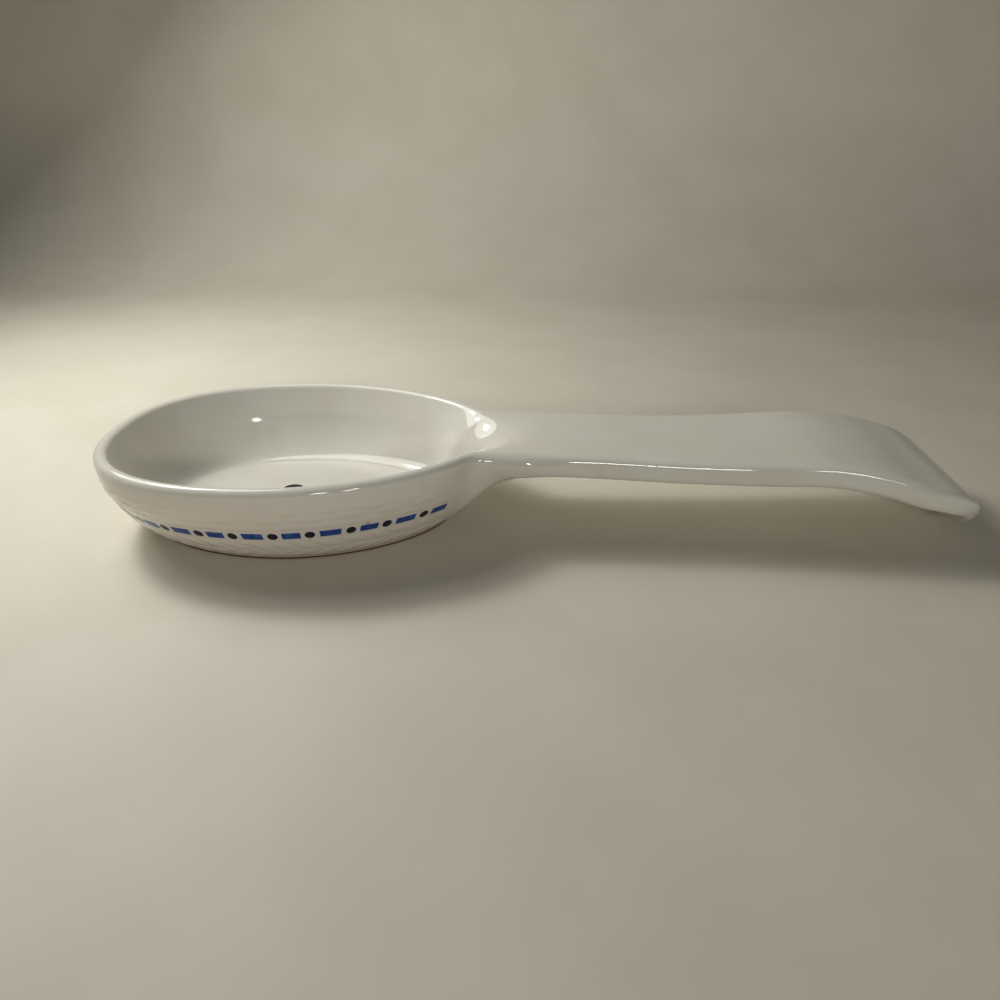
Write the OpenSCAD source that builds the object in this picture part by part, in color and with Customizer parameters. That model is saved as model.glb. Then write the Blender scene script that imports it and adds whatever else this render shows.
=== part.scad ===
// Spoon rest: an egg-shaped glazed bowl that runs through a filleted neck into a flat handle,
// which curls down to the table at its round end. Millimetres, +Z up, handle along +X.
// The origin is on the table, midway between the front of the bowl and the end of the handle.

/* [Bowl] */
// Reach of the bowl in front of its widest line, to the outside of the lip
bowl_front = 52.8; // [46:0.2:62]
// Reach that the oval would have behind its widest line, had it no neck
bowl_back = 59.7; // [54:0.2:62]
// Overall width of the bowl over the lip
bowl_w = 79; // [72:0.5:92]
// Height of the top of the lip above the table
bowl_h = 26.3; // [23:0.1:34]
// Thickness of the rolled lip
lip_t = 3.8; // [3:0.1:5]
// Thickness of the bowl's floor
floor_t = 4.4; // [3:0.1:6]
// How full the front half of the oval is: 2 is an ellipse, more is squarer
front_fullness = 2.33; // [2:0.01:2.6]
// How full the back half of the oval is
back_fullness = 1.83; // [1.75:0.01:2.1]

/* [Foot] */
// How far the foot stands in from the outside of the lip
foot_in = 11.6; // [9:0.1:14]
// The same at the very front of the bowl, where the wall is steeper
foot_front_in = 8.5; // [8:0.1:14]
// The same at the back, from the end that the oval would have under the neck
foot_back_in = 15; // [13:0.1:20]
// How full the front half of the foot is
foot_fullness = 2; // [1.9:0.01:2.6]
// Height of the bare clay foot ring
foot_h = 1; // [0.6:0.1:2]
// Width of the bare clay foot ring
foot_w = 3.4; // [2:0.1:6]

/* [Neck] */
// Distance from the bowl's widest line to the start of the handle
neck_x = 67.4; // [66:0.2:76]
// Overall width of the neck
neck_w = 33.6; // [28:0.2:37]
// Size of the fillet that leads the rim into the neck
neck_fillet = 11; // [8:0.2:11]

/* [Handle] */
// Overall length of the handle from the neck to its end
handle_len = 121.8; // [100:1:150]
// Thickness of the handle
handle_t = 6.5; // [5:0.1:7.6]
// How full the handle's edges are: 2 is fully round, more is squarer
edge_fullness = 2.5; // [2:0.1:3.2]
// Height of the top of the handle at the neck
handle_h = 26; // [22:0.1:32]
// Overall width of the paddle at the end of the handle
paddle_w = 47; // [40:0.2:54]
// Clearance of the curled end above the table
tip_gap = 1.2; // [0.2:0.1:3]

/* [Hanging hole] */
// Diameter of the hanging hole
hole_d = 5; // [4:0.1:6]
// Distance from the end of the handle to the middle of the hole, seen from above
hole_in = 9; // [9:0.2:22]

/* [Painted marks] */
// Height of the middle of the painted band above the table
band_z = 12.5; // [9:0.1:15]
// How far the middle of the pattern lies along the band from the front of the bowl
band_shift = 1.8; // [-4:0.2:4]
// Height of a dash
dash_h = 2.5; // [1:0.1:3]
// Length of a long dash, in the long gaps
dash_long = 5.3; // [4:0.1:7]
// Length of a short dash, in the short gaps
dash_short = 4.6; // [3:0.1:6]
// How much longer a dash is at its top corners, at each end
dash_slant = 0.05; // [0:0.05:0.5]
// Length of a dot along the band
dot_l = 2.5; // [1.5:0.1:3]
// Height of a dot
dot_h = 2.6; // [1.5:0.1:3]
// Distance between two dots with a long dash between them
long_pitch = 10.2; // [9.8:0.1:12]
// Distance between two dots with a short dash between them
short_pitch = 9.2; // [8.6:0.1:10]
// Number of dots on each side of the front of the bowl
side_dots = 12; // [4:1:12]
// Thickness of a painted mark
mark_t = 0.15; // [0.1:0.05:0.3]
// Diameter of the painted spot on the bowl's floor
spot_d = 6.4; // [3:0.1:12]
// Place of the spot along the handle's axis, from the widest line
spot_x = -3.5; // [-12:0.5:12]
// Place of the spot across the handle's axis
spot_y = 2.6; // [-8:0.2:8]

/* [Hidden] */

// The shapes below are drawn from the bowl's widest line, then moved to the origin
middle_x = (neck_x + handle_len - bowl_front) / 2;

// Middle line of the lip and of the handle's edge
lip_r = lip_t / 2;
edge_r = handle_t / 2;
rim_front = bowl_front - lip_r;
rim_back = bowl_back - lip_r;
rim_half = bowl_w / 2 - lip_r;
rim_z = bowl_h - lip_r;
neck_half = neck_w / 2 - edge_r;
neck_z = handle_h - edge_r;
neck_angle = atan2(neck_half, neck_x);
// Angles off the handle's axis at which the outer and the inner wall start to turn into the neck
outer_angle = 27;
inner_angle = 50;
// Lean of the lip's inner side, as a turn round its middle line
lip_turn_angle = 172;

// Plan of the foot, and of the floor as an inset of the rim's middle line
foot_front = bowl_front - foot_front_in;
foot_back = bowl_back - foot_back_in;
foot_half = bowl_w / 2 - foot_in;
floor_inset = 16;
floor_z = foot_h + floor_t;

// Pulls that shape the wall's section: at the foot, under the lip, inside the lip, at the floor
foot_pull = 8;
lip_pull = 9;
inner_pull = 9;
floor_pull = 7.5;
// The same below the neck, at the foot and where the wall runs into the handle's underside
neck_foot_pull = 6;
neck_pull = 8;
// How steeply the wall leaves the foot, round the bowl and below the neck
foot_flare_angle = 36;
neck_flare_angle = 42;
// How far inside the oval the top of the neck starts to roll down into the bowl
roll_in = 5;

// Counts of facets
neck_steps = 6;
rim_steps = 104;
wall_steps = 7;
lip_steps = 8;
inner_steps = 9;
edge_steps = 8;
flat_steps = 4;
handle_steps = 44;
band_steps = 80;
dot_steps = 12;

// Handle from the neck to the tip of its middle line: share of its length, share of the
// growth from the neck's width to the paddle's, share of that width as the end closes,
// and share of the height from the tip to the neck
handle_shares = [
    [0, 0, 1, 1],
    [0.16, 0, 1, 0.97],
    [0.34, 0.125, 1, 0.935],
    [0.515, 0.36, 1, 0.95],
    [0.655, 0.53, 1, 0.975],
    [0.76, 0.77, 1, 0.895],
    [0.845, 1, 1, 0.76],
    [0.905, 1, 0.95, 0.655],
    [0.95, 1, 0.8, 0.48],
    [0.983, 1, 0.5, 0.22],
    [1, 1, 0, 0]
];
paddle_half = paddle_w / 2 - edge_r;
handle_reach = handle_len - edge_r;
tip_z = tip_gap + edge_r;
// The end stops this share of a station short of the axis, where its two edges are joined
end_share = 0.03;
// Step of the small differences that give directions along a curve
step_share = 0.01;
step_angle = 0.2;

// Gap between a painted mark and the glaze under it
mark_gap = 0.03;
// Overrun of a cut past the surface that it goes through
over = 1;

function mix(p, q, share) = p + (q - p) * share;
function unit(v) = v / norm(v);
function smooth(u) = u * u * (3 - 2 * u);
function clamp(u) = max(0, min(1, u));
function bezier(c, t) =
    pow(1 - t, 3) * c[0] + 3 * t * pow(1 - t, 2) * c[1] + 3 * t * t * (1 - t) * c[2] + pow(t, 3) * c[3];
function smooth_max(p, q, size) = max(p, q) + pow(max(size - abs(p - q), 0), 2) / (4 * size);

// Distance of an egg-shaped outline in the direction of an angle
function egg_r(a, front, back, half, fullness) =
    let (reach = cos(a) < 0 ? front : back)
    let (n = cos(a) < 0 ? fullness : back_fullness)
    pow(pow(abs(cos(a)) / reach, n) + pow(abs(sin(a)) / half, n), -1 / n);
// The rim's middle line as an oval, the foot's outer edge and the floor's edge
function oval_r(a) = egg_r(a, rim_front, rim_back, rim_half, front_fullness);
function foot_r(a, inset) =
    egg_r(a, foot_front - inset, foot_back - inset, foot_half - inset, foot_fullness);
function floor_r(a) =
    egg_r(a, rim_front - floor_inset, rim_back - floor_inset, rim_half - floor_inset, front_fullness);
function flat_point(a, r, z) = [r * cos(a), r * sin(a), z];

// Angle from the handle's axis, from 0 to 180, and how far the wall has turned into the neck
function off_axis(a) = abs((a + 180) % 360 - 180);
function neckness(a, start) = smooth(clamp((start - off_axis(a)) / (start - neck_angle)));

// Middle line of the rim: the oval, filleted into the two edges of the neck
function rim_r(a) =
    off_axis(a) <= neck_angle ? neck_x / cos(a) :
    cos(a) <= 0 ? oval_r(a) :
    smooth_max(oval_r(a), neck_half / abs(sin(a)), neck_fillet);
function rim_point(a) =
    [rim_r(a) * cos(a), rim_r(a) * sin(a), mix(rim_z, neck_z, neckness(a, outer_angle))];
// Outward direction of the rim in plan; across the mouth of the neck there is none
function rim_side(a) =
    off_axis(a) < neck_angle - step_angle ? [0, 0, 0] :
    let (back = off_axis(a - step_angle) < neck_angle ? a : a - step_angle)
    let (ahead = off_axis(a + step_angle) < neck_angle ? a : a + step_angle)
    let (d = rim_point(ahead) - rim_point(back))
    unit([d[1], -d[0], 0]);
function rim_away(a) =
    unit(mix(rim_side(a), [cos(a), sin(a), 0], neckness(a, outer_angle)));
function lip_point(a, turn) =
    let (r = mix(lip_r, edge_r, neckness(a, outer_angle)))
    rim_point(a) + r * (cos(turn) * rim_side(a) + [0, 0, sin(turn)]);

// Control points of the outer wall, from the foot to the lip, at one angle
function wall_curve(a) =
    let (k = neckness(a, outer_angle))
    let (turn = mix(0, -90, k))
    let (foot = flat_point(a, foot_r(a, 0), foot_h))
    let (lip = lip_point(a, turn))
    let (way = -sin(turn) * rim_away(a) + [0, 0, cos(turn)])
    let (rise = mix(foot_flare_angle, neck_flare_angle, k))
    let (flare = [cos(a) * cos(rise), sin(a) * cos(rise), sin(rise)])
    let (out = foot + mix(foot_pull, neck_foot_pull, k) * flare)
    [foot, out, lip - mix(lip_pull, neck_pull, k) * way, lip];
// Control points of the inner wall, from the lip to the floor
function inner_curve(a) =
    let (k = neckness(a, inner_angle))
    let (turn = mix(lip_turn_angle, 90, k))
    let (lip = lip_point(a, turn))
    let (ground = flat_point(a, floor_r(a), floor_z))
    let (way = -sin(turn) * rim_away(a) + [0, 0, cos(turn)])
    let (pull = mix(inner_pull, rim_r(a) - oval_r(a) + roll_in, k))
    [lip, lip + pull * way, ground + floor_pull * [cos(a), sin(a), 0], ground];
// One section of the shell, from the foot's outer edge over the lip to the edge of the floor
function shell_section(a) =
    let (from = mix(0, -90, neckness(a, outer_angle)))
    let (to = mix(lip_turn_angle, 90, neckness(a, inner_angle)))
    concat(
        [for (i = [0:wall_steps]) bezier(wall_curve(a), i / wall_steps)],
        [for (i = [1:lip_steps]) lip_point(a, mix(from, to, i / lip_steps))],
        [for (i = [1:inner_steps]) bezier(inner_curve(a), i / inner_steps)]
    );

// Angles of the sections: evenly across the mouth of the neck, then evenly round the rim
function shell_angles() = concat(
    [for (i = [0:neck_steps - 1]) mix(-neck_angle, neck_angle, i / neck_steps)],
    [for (i = [0:rim_steps - 1]) mix(neck_angle, 360 - neck_angle, i / rim_steps)]
);

// Triangles between the sections of a closed fan, with a middle point below and one above
function fan_faces(n, m) = concat(
    [for (i = [0:n - 1]) [n * m, i * m, ((i + 1) % n) * m]],
    [for (i = [0:n - 1]) for (j = [0:m - 2]) [i * m + j, i * m + j + 1, ((i + 1) % n) * m + j]],
    [for (i = [0:n - 1]) for (j = [0:m - 2])
        [((i + 1) % n) * m + j, i * m + j + 1, ((i + 1) % n) * m + j + 1]],
    [for (i = [0:n - 1]) [n * m + 1, ((i + 1) % n) * m + m - 1, i * m + m - 1]]
);

// Point of the handle's edge line at a station, with its width as y
handle_line = [for (s = handle_shares) [
    neck_x + handle_reach * s[0],
    mix(neck_half, paddle_half, s[1]) * s[2],
    mix(tip_z, neck_z, s[3])
]];
function before(p) = [2 * p[0][0] - p[1][0], p[1][1], p[1][2]];
function after(p) = [p[len(p) - 2][0], -p[len(p) - 2][1], p[len(p) - 2][2]];
// Smooth curve through a list of points, which leaves the first along X and ends square to the axis
function spline(p, t) =
    let (i = min(floor(t), len(p) - 2))
    let (u = t - i)
    let (a = i > 0 ? p[i - 1] : before(p))
    let (b = p[i])
    let (c = p[i + 1])
    let (d = i + 2 < len(p) ? p[i + 2] : after(p))
    b + (c - a) * u / 2 + (2 * a - 5 * b + 4 * c - d) * u * u / 2 + (3 * b - a - 3 * c + d) * u * u * u / 2;
function edge_at(t) = spline(handle_line, t);
last_station = len(handle_line) - 1;
end_station = last_station - end_share;

// Direction along the handle's middle line, straight ahead where it leaves the neck
function along(t) =
    t < step_share ? [1, 0, 0] :
    let (d = edge_at(t) - edge_at(t - step_share))
    unit([d[0], 0, d[2]]);
function upright(t) = [-along(t)[2], 0, along(t)[0]];
// Part of a direction that draws a squarer curve than a circle
function fuller(part, n) = sign(part) * pow(abs(part), 2 / n);
// Outward direction of the edge, within the handle's surface
function edge_side(t) =
    t < step_share ? [0, 1, 0] :
    let (d = edge_at(t) - edge_at(t - step_share))
    unit(norm([d[0], d[2]]) * [0, 1, 0] - d[1] * along(t));
function edge_point(t, turn, side) =
    let (c = edge_at(t))
    let (o = edge_side(t))
    let (n = mix(2, edge_fullness, smooth(clamp(t))))
    let (p = c + edge_r * (fuller(cos(turn), n) * o + fuller(sin(turn), n) * upright(t)))
    [p[0], side * p[1], p[2]];
// One section of the handle: an edge, the flat top, the other edge, the flat underside
function handle_section(t) = concat(
    [for (i = [0:edge_steps]) edge_point(t, mix(-90, 90, i / edge_steps), 1)],
    [for (i = [1:flat_steps - 1]) mix(edge_point(t, 90, 1), edge_point(t, 90, -1), i / flat_steps)],
    [for (i = [0:edge_steps]) edge_point(t, mix(90, -90, i / edge_steps), -1)],
    [for (i = [1:flat_steps - 1]) mix(edge_point(t, -90, -1), edge_point(t, -90, 1), i / flat_steps)]
);
section_size = 2 * (edge_steps + flat_steps);
// Triangles that close a section rung by rung, from one of its edges to the other
cap_faces = let (mate = 2 * edge_steps + flat_steps) concat(
    [for (j = [0:flat_steps - 1]) [1, (section_size - j) % section_size, section_size - j - 1]],
    [for (j = [0:edge_steps - 2]) [j + 1, mate - j, mate - j - 1]],
    [for (j = [1:edge_steps - 2]) [j + 1, j, mate - j]],
    [for (j = [0:flat_steps]) [edge_steps - 1, mate - edge_steps + 1 - j, mate - edge_steps - j]]
);
// Triangles of a tube of sections, closed at both ends
function tube_faces(n, m) = concat(
    [for (f = cap_faces) [f[0], f[2], f[1]]],
    [for (i = [0:n - 2]) for (j = [0:m - 1])
        [i * m + j, (i + 1) * m + j, i * m + (j + 1) % m]],
    [for (i = [0:n - 2]) for (j = [0:m - 1])
        [(i + 1) * m + j, (i + 1) * m + (j + 1) % m, i * m + (j + 1) % m]],
    [for (f = cap_faces) [for (k = f) k + (n - 1) * m]]
);

// Height on the outer wall's curve at which the curve passes a level
function level_share(c, z, low = 0, high = 1, tries = 12) =
    let (middle = (low + high) / 2)
    tries == 0 ? middle :
    bezier(c, middle)[2] < z ? level_share(c, z, middle, high, tries - 1) :
    level_share(c, z, low, middle, tries - 1);
function band_point(a) =
    let (c = wall_curve(a))
    bezier(c, level_share(c, band_z));
// Table from the distance along the band, measured from the front of the bowl, to the angle
band_turns = [for (i = [0:band_steps]) mix(0, 180 - neck_angle, i / band_steps)];
band_places = [for (turn = band_turns) band_point(180 - turn)];
function run_length(p, i) = i == 0 ? 0 : norm(p[i] - p[i - 1]) + run_length(p, i - 1);
band_table = [for (i = [0:len(band_turns) - 1]) [run_length(band_places, i), band_turns[i]]];
function band_angle(s) =
    let (run = s - band_shift)
    180 - sign(run) * lookup(abs(run), band_table);

// Point on the outer wall at a distance along the band and a height on the wall from its middle,
// lifted off the glaze
function on_wall(s, rise, lift) =
    let (a = band_angle(s))
    let (c = wall_curve(a))
    let (t = level_share(c, band_z))
    let (slope = (bezier(c, t + step_share) - bezier(c, t - step_share)) / (2 * step_share))
    let (p = bezier(c, t + rise / norm(slope)))
    let (beside = bezier(wall_curve(a + step_angle), t) - bezier(wall_curve(a - step_angle), t))
    p + lift * unit(cross(beside, slope));

// A painted patch: its outline as pairs of distance and rise, in order, thickened off the wall
module patch(outline) {
    n = len(outline);
    middle = [for (k = [0, 1]) let (v = [for (p = outline) p[k]]) (min(v) + max(v)) / 2];
    rim = concat(outline, [middle]);
    low = [for (p = rim) on_wall(p[0], p[1], mark_gap)];
    high = [for (p = rim) on_wall(p[0], p[1], mark_gap + mark_t)];
    polyhedron(
        points = concat(low, high),
        faces = concat(
            [for (i = [0:n - 1]) [i, n, (i + 1) % n]],
            [for (i = [0:n - 1]) [n + 1 + i, n + 1 + (i + 1) % n, 2 * n + 1]],
            [for (i = [0:n - 1]) [i, (i + 1) % n, n + 1 + i]],
            [for (i = [0:n - 1]) [n + 1 + i, (i + 1) % n, n + 1 + (i + 1) % n]]
        )
    );
}

// Distances of the dots from the front: a short gap across the front, then long and short in turn
function dot_place(i) = short_pitch / 2 + ceil(i / 2) * long_pitch + floor(i / 2) * short_pitch;
// Distances of the dashes on one side, and whether each is long; the last has no dot behind it
function dash_place(i) =
    i % 2 == 0 ? dot_place(i) + long_pitch / 2 : dot_place(i) + short_pitch / 2;
function dash_length(i) = i % 2 == 0 ? dash_long : dash_short;

module dash(place, length) {
    half = length / 2;
    top = half + dash_slant;
    patch([
        [place - half, -dash_h / 2],
        [place, -dash_h / 2],
        [place + half, -dash_h / 2],
        [place + top, dash_h / 2],
        [place, dash_h / 2],
        [place - top, dash_h / 2]
    ]);
}
module dot(place) {
    patch([for (i = [0:dot_steps - 1])
        let (a = i * 360 / dot_steps) [place + dot_l / 2 * cos(a), dot_h / 2 * sin(a)]]);
}

module place() {
    translate([-middle_x, 0, 0])
    children();
}

module bowl() {
    angles = shell_angles();
    sections = [for (a = angles) shell_section(a)];
    m = len(sections[0]);
    color("ivory")
    place()
    polyhedron(
        points = concat([for (s = sections) each s], [[0, 0, foot_h], [0, 0, floor_z]]),
        faces = fan_faces(len(angles), m)
    );
}

module handle() {
    stations = [for (i = [0:handle_steps]) end_station * i / handle_steps];
    hole_x = neck_x + handle_len - hole_in;
    hole_t = station_at(hole_x);
    hole_tilt = atan2(-along(hole_t)[2], along(hole_t)[0]);
    color("ivory")
    place()
    difference() {
        polyhedron(
            points = [for (t = stations) each handle_section(t)],
            faces = tube_faces(len(stations), section_size)
        );
        translate([hole_x, 0, edge_at(hole_t)[2]])
        rotate([0, hole_tilt, 0])
        cylinder(d = hole_d, h = handle_t + 2 * over, center = true, $fn = 48);
    }
}
// Station of the handle's line that lies above a place along X
function station_at(x, low = 0, high = end_station, tries = 14) =
    let (middle = (low + high) / 2)
    tries == 0 ? middle :
    edge_at(middle)[0] < x ? station_at(x, middle, high, tries - 1) :
    station_at(x, low, middle, tries - 1);

module foot_plan(inset) {
    polygon([for (i = [0:rim_steps - 1])
        let (a = i * 360 / rim_steps) foot_r(a, inset) * [cos(a), sin(a)]]);
}
module foot_ring() {
    color("tan")
    place()
    linear_extrude(foot_h)
    difference() {
        foot_plan(0);
        foot_plan(foot_w);
    }
}

module band_dashes() {
    color("royalblue")
    place() {
        dash(0, dash_short);
        for (i = [0:side_dots - 1]) {
            dash(dash_place(i), dash_length(i));
            dash(-dash_place(i), dash_length(i));
        }
    }
}

module band_dots() {
    color("midnightblue")
    place()
    for (i = [0:side_dots - 1]) {
        dot(dot_place(i));
        dot(-dot_place(i));
    }
}

module floor_spot() {
    color("midnightblue")
    place()
    translate([spot_x, spot_y, floor_z + mark_gap])
    cylinder(d = spot_d, h = mark_t, $fn = 48);
}

bowl();
handle();
foot_ring();
band_dashes();
band_dots();
floor_spot();
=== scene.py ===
# %% [markdown]
# # A glazed spoon rest, step by step
#
# A spoon rest is a shallow bowl with a flat handle, slip-cast in one piece, painted and dipped
# in a clear white glaze. Everything that catches the eye on it is either one long soft
# surface, which runs from the foot over the lip and out along the handle, or paint on it.
#
# Each cell below makes one piece or one finish. The measurements are the same millimetres as
# in the construction model, and every function works on whole lists of angles at once, so a
# mesh ten times finer than the construction model's costs no more lines.

import math

import bmesh
import bpy
import numpy as np
from mathutils import Matrix, Vector, noise


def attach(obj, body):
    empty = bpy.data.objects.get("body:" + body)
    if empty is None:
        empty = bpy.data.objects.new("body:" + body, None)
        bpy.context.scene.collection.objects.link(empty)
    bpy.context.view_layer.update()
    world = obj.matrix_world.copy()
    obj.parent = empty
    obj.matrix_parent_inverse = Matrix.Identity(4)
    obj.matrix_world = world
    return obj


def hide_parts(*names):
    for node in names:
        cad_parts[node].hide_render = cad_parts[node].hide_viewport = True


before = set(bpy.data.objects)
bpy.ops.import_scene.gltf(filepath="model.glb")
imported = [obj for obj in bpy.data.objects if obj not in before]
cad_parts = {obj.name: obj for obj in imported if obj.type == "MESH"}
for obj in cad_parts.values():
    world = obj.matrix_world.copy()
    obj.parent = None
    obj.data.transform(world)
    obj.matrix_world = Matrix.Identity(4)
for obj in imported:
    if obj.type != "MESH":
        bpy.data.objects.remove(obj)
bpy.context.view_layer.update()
MM = 0.001
print("pieces of the construction model:", sorted(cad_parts))

# %% [markdown]
# ## The camera
#
# A camera could be aimed with a Track To constraint, but a constraint keeps the horizon level,
# and a phone held by hand is always a little tilted. So the camera gets its right and its up
# direction outright, and the third axis is square to both.

# %% Camera
camera_place = Vector((2.11, -193.25, 108.29)) * MM
camera_right = Vector((0.99850, 0.05347, -0.01147))
camera_up = Vector((-0.01524, 0.47347, 0.88068))

camera = bpy.data.objects.new("camera", bpy.data.cameras.new("camera"))
bpy.context.scene.collection.objects.link(camera)
camera.data.sensor_width = 36
camera.data.lens = 26.99
camera.data.clip_start = 10 * MM
axes = Matrix((camera_right, camera_up, camera_right.cross(camera_up))).transposed()
camera.matrix_world = Matrix.Translation(camera_place) @ axes.to_4x4()
bpy.context.scene.camera = camera
print("camera looks down by", round(math.degrees(math.asin(axes[2][2])), 1), "degrees")

# %% [markdown]
# ## The plan of the bowl
#
# Seen from above, the rim is an egg: two superellipses that share their widest line, a squarer
# one in front and a more pointed one behind. Two arcs or a free curve would also do, but the
# superellipse keeps the fullness of each end as one number.
#
# Behind the bowl the rim swings out into the two straight edges of the neck. A smooth maximum
# of the egg's radius and the straight edge's radius makes that fillet.

# %% Rim outline
lip_r, edge_r = 1.9, 3.25
rim_front, rim_back, rim_half, rim_z = 50.9, 57.8, 37.6, 24.4
front_fullness, back_fullness = 2.33, 1.83
neck_x, neck_half, neck_z, neck_fillet = 67.4, 13.55, 22.75, 11
neck_angle = math.atan2(neck_half, neck_x)
tube_blend, turn_blend, inner_blend = 23, 13, 30
middle_x = 68.2


def mix(p, q, share):
    return p + (q - p) * share


def column(values):
    return np.asarray(values, float)[..., None]


def egg_radius(a, front, back, half, fullness):
    ahead = np.cos(a) < 0
    reach = np.where(ahead, front, back)
    n = np.where(ahead, fullness, back_fullness)
    return ((abs(np.cos(a)) / reach) ** n + (abs(np.sin(a)) / half) ** n) ** (-1 / n)


def rim_egg(a):
    return egg_radius(a, rim_front, rim_back, rim_half, front_fullness)


def off_axis(a):
    return abs((a + math.pi) % (2 * math.pi) - math.pi)


def rim_radius(a):
    egg = rim_egg(a)
    edge = neck_half / np.maximum(abs(np.sin(a)), math.sin(neck_angle) / 2)
    closeness = np.maximum(neck_fillet - abs(egg - edge), 0)
    filleted = np.maximum(egg, edge) + closeness**2 / (4 * neck_fillet)
    beyond_mouth = np.where(np.cos(a) <= 0, egg, filleted)
    return np.where(off_axis(a) <= neck_angle + 1e-9, neck_x / np.cos(a), beyond_mouth)


def radial(a):
    return np.stack([np.cos(a), np.sin(a), 0 * a], -1)


corner_angles = np.linspace(neck_angle, math.pi, 3000)
corner_path = column(rim_radius(corner_angles)) * radial(corner_angles)
corner_steps = np.linalg.norm(np.diff(corner_path, axis=0), axis=1)
corner_runs = np.concatenate([[0], np.cumsum(corner_steps)])


def neckness(a, length):
    """One at the neck, and falling to zero at this length along the rim."""
    u = np.clip(1 - np.interp(off_axis(a), corner_angles, corner_runs) / length, 0, 1)
    return u * u * u * (u * (6 * u - 15) + 10)


def rim_point(a):
    point = column(rim_radius(a)) * radial(a)
    point[..., 2] = mix(rim_z, neck_z, neckness(a, tube_blend))
    return point


print("rim from", -rim_front, "to", neck_x, "mm")
print("the neck starts", round(math.degrees(neck_angle), 1), "degrees off the axis")

# %% [markdown]
# ## The wall of the bowl
#
# The wall is lofted: at every angle there is one section, made of a curve up the outside, an
# arc over the rolled lip and a curve down the inside. The curves are Bezier curves, because
# their two middle points can be moved with the angle. At the front they make an upright wall
# with a lip, and behind they lean over until the outside has become the underside of the
# handle and the inside has become its top.
#
# Seen from above, every inside curve runs straight towards the middle of the bowl. Curves that
# start square to the rim instead would cross each other at the neck's corners and fold the
# surface. Between the corners the inside starts level, and rolls over along a pointed outline,
# which gives the neck the round hollow that it has across the handle.

# %% Sections of the wall
foot_h, floor_z = 1.0, 5.4
foot_front, foot_back, foot_half = 44.3, 44.7, 27.9
floor_inset = 16
foot_pull, foot_pull_neck = 8, 6
flare_rise, flare_rise_neck = math.radians(36), math.radians(42)
lip_pull, lip_pull_neck = 9, 8
inner_pull, floor_pull = 9, 7.5
spout_back, spout_half, spout_start, spout_pull = 58.5, 21, 8.9, 5.5
lip_turn = math.radians(155)
quarter = math.pi / 2
small_turn = math.radians(0.2)


def foot_radius(a, inset=0):
    return egg_radius(a, foot_front - inset, foot_back - inset, foot_half - inset, 2)


def floor_radius(a):
    front, back, half = (reach - floor_inset for reach in (rim_front, rim_back, rim_half))
    return egg_radius(a, front, back, half, front_fullness)


def spout_radius(a):
    """The pointed outline that the inside has where it rolls over into the handle."""
    return egg_radius(a, rim_front, spout_back, spout_half, 2)


def at_height(a, radius, z):
    point = column(radius) * radial(a)
    point[..., 2] = z
    return point


def unit(v):
    return v / np.maximum(np.linalg.norm(v, axis=-1, keepdims=True), 1e-12)


def rim_side(a):
    """Outward direction of the rim in plan; the neck's edges point straight sideways."""
    mouth = off_axis(a) < neck_angle - small_turn
    back = np.where(off_axis(a - small_turn) < neck_angle, a, a - small_turn)
    ahead = np.where(off_axis(a + small_turn) < neck_angle, a, a + small_turn)
    d = rim_point(ahead) - rim_point(back)
    side = np.stack([d[..., 1], -d[..., 0], 0 * d[..., 0]], -1)
    return np.where(column(mouth), 0, unit(side))


def rim_away(a):
    return unit(mix(rim_side(a), radial(a), column(neckness(a, turn_blend))))


def lip_point(a, turn):
    r = column(mix(lip_r, edge_r, neckness(a, tube_blend)))
    up = np.array([0, 0, 1.0])
    return rim_point(a) + r * (column(np.cos(turn)) * rim_side(a) + column(np.sin(turn)) * up)


def outer_controls(a):
    k = neckness(a, turn_blend)
    turn = mix(0, -quarter, k)
    lip = lip_point(a, turn)
    way = column(-np.sin(turn)) * rim_away(a) + column(np.cos(turn)) * [0, 0, 1]
    rise = mix(flare_rise, flare_rise_neck, k)
    flare = column(np.cos(rise)) * radial(a) + column(np.sin(rise)) * [0, 0, 1]
    foot = at_height(a, foot_radius(a), foot_h)
    from_foot = column(mix(foot_pull, foot_pull_neck, k)) * flare
    to_lip = column(mix(lip_pull, lip_pull_neck, k)) * way
    return foot, foot + from_foot, lip - to_lip, lip


def inner_controls(a):
    k = neckness(a, inner_blend)
    turn = mix(lip_turn, quarter, k)
    lip = lip_point(a, turn)
    facing = np.sum(radial(a) * rim_side(a), -1)
    way = unit(column(-np.sin(turn)) * radial(a) + column(facing * np.cos(turn)) * [0, 0, 1])
    level = column(np.maximum(rim_radius(a) - spout_radius(a) - spout_start, 0)) * way
    pull = mix(inner_pull, rim_radius(a) - spout_radius(a) + spout_pull, k)
    ground = at_height(a, floor_radius(a), floor_z)
    return lip, lip + level, lip + column(pull) * way, ground + floor_pull * radial(a), ground


def bezier(c, t):
    t = column(t)
    first, second = (1 - t) ** 3, 3 * t * (1 - t) ** 2
    third, fourth = 3 * t * t * (1 - t), t**3
    return first * c[0] + second * c[1] + third * c[2] + fourth * c[3]


front_wall = bezier(outer_controls(np.array([math.pi] * 5)), np.linspace(0, 1, 5))
print("front wall from the foot up, x and z in mm:", front_wall[:, [0, 2]].round(1).tolist())

# %% [markdown]
# ## Distances on the outside of the wall
#
# The painted band and the moulded weave need flat coordinates on a curved wall. A UV unwrap
# would give some, but a measured pair is easier to draw with: how far round the band a point
# lies from the front of the bowl, and how far up the wall it lies from the band.

# %% Run and rise
band_z, band_shift = 12.5, 1.8
band_turns = np.linspace(0, math.pi - neck_angle, 400)


def level_share(a, z):
    """Where the outside curve passes a height, found by halving."""
    low, high = np.zeros(len(a)), np.ones(len(a))
    controls = outer_controls(a)
    for _ in range(24):
        middle = (low + high) / 2
        below = bezier(controls, middle)[..., 2] < z
        low, high = np.where(below, middle, low), np.where(below, high, middle)
    return (low + high) / 2


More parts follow.
